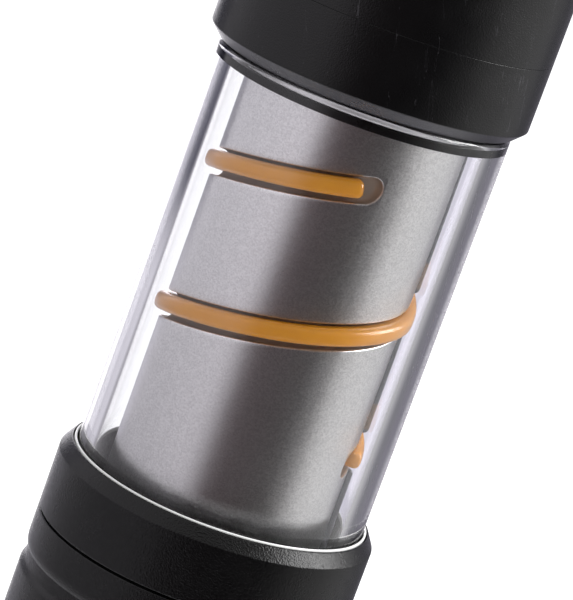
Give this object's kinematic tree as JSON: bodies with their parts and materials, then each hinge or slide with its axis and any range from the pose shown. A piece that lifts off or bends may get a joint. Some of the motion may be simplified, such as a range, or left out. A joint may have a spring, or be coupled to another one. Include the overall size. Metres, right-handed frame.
{
  "type": "pull-out lantern flashlight",
  "caption": "Slim cylindrical torch whose head pulls out of a ribbed handle and uncovers a clear lantern tube with a helical light filament round a silver column.",
  "frame": {"origin": "centre of the tail's flat ring, on the axis, where the torch stands", "axes": "+Z along the axis from the tail to the front lens; +X to the right as pictured; power button at +Y, charging port at -X"},
  "size_m": [0.0426, 0.0426, 0.1883],
  "materials": {
    "black_plastic": "satin, fine turned grain",
    "black_rubber": "matt rubber",
    "clear_plastic": "clear, glossy, faint scratches along its length",
    "natural_nylon": "translucent natural white",
    "silver_paint": "satin metallic silver paint with a fine speckle",
    "phosphor_silicone": "smooth orange yellow phosphor silicone",
    "steel": "bright steel",
    "nickel_plate": "nickel plated",
    "brass": "polished brass",
    "aluminium": "machined",
    "mirror_coat": "bright polished reflector",
    "cell_sleeve": null,
    "white_plastic": "plain moulded white",
    "circuit_board": "green solder mask",
    "chip_black": "moulded black",
    "wire_red": "insulated wire"
  },
  "bodies": {
    "handle": {"tail_cap": "black_plastic", "tail_magnet": "nickel_plate", "tail_seal": "black_rubber", "end_bumper": "black_rubber", "handle_shell": "black_plastic", "collar_ring": "black_plastic", "slide_bush": "natural_nylon", "slide_seal": "black_rubber"},
    "bail": {"hanging_bail": "steel"},
    "button": {"power_button": "black_rubber", "switch_plunger": "chip_black"},
    "port_cover": {"usb_cover": "black_rubber"},
    "lantern": {"clear_tube": "clear_plastic", "column_foot": "black_plastic", "silver_column": "silver_paint", "led_filament": "phosphor_silicone", "filament_pin_lower": "steel", "filament_pin_upper": "steel", "filament_lead_lower": "wire_red", "filament_lead_upper": "wire_red", "foot_screw_1": "steel", "foot_screw_2": "steel", "foot_screw_3": "steel", "cap_screw_1": "steel", "cap_screw_2": "steel", "cap_screw_3": "steel", "battery_cell": "cell_sleeve", "cell_carrier": "white_plastic", "cell_spring": "steel", "contact_plate": "brass", "contact_holder": "white_plastic", "column_cap": "black_plastic", "tube_seal": "black_rubber", "head_base_ring": "black_plastic", "head_housing": "black_plastic", "driver_board": "circuit_board", "driver_chip": "chip_black", "charge_chip": "chip_black", "driver_coil": "chip_black", "usb_port": "nickel_plate", "tact_switch": "chip_black", "indicator_lens": "clear_plastic", "heat_sink": "aluminium", "led_board": "white_plastic", "led_emitter": "phosphor_silicone", "reflector": "mirror_coat", "front_lens": "clear_plastic", "lens_seal": "black_rubber", "front_bezel": "black_plastic"}
  },
  "joints": [
    {"name": "lantern_slide", "type": "slide", "parent": "handle", "child": "lantern", "axis": [0, 0, 1], "range_m": [-0.0537, 0]},
    {"name": "button_press", "type": "slide", "parent": "lantern", "child": "button", "axis": [0, -1, 0], "range_m": [0, 0.0008], "stiffness_N_per_m": 600},
    {"name": "cover_hinge", "type": "hinge", "parent": "lantern", "child": "port_cover", "pos_m": [-0.0201, 0, 0.148], "axis": [0, -1, 0], "range_deg": [0, 110]},
    {"name": "bail_hinge", "type": "hinge", "parent": "handle", "child": "bail", "pos_m": [0, 0, 0.0022], "axis": [-1, 0, 0], "range_deg": [0, 180]}
  ]
}
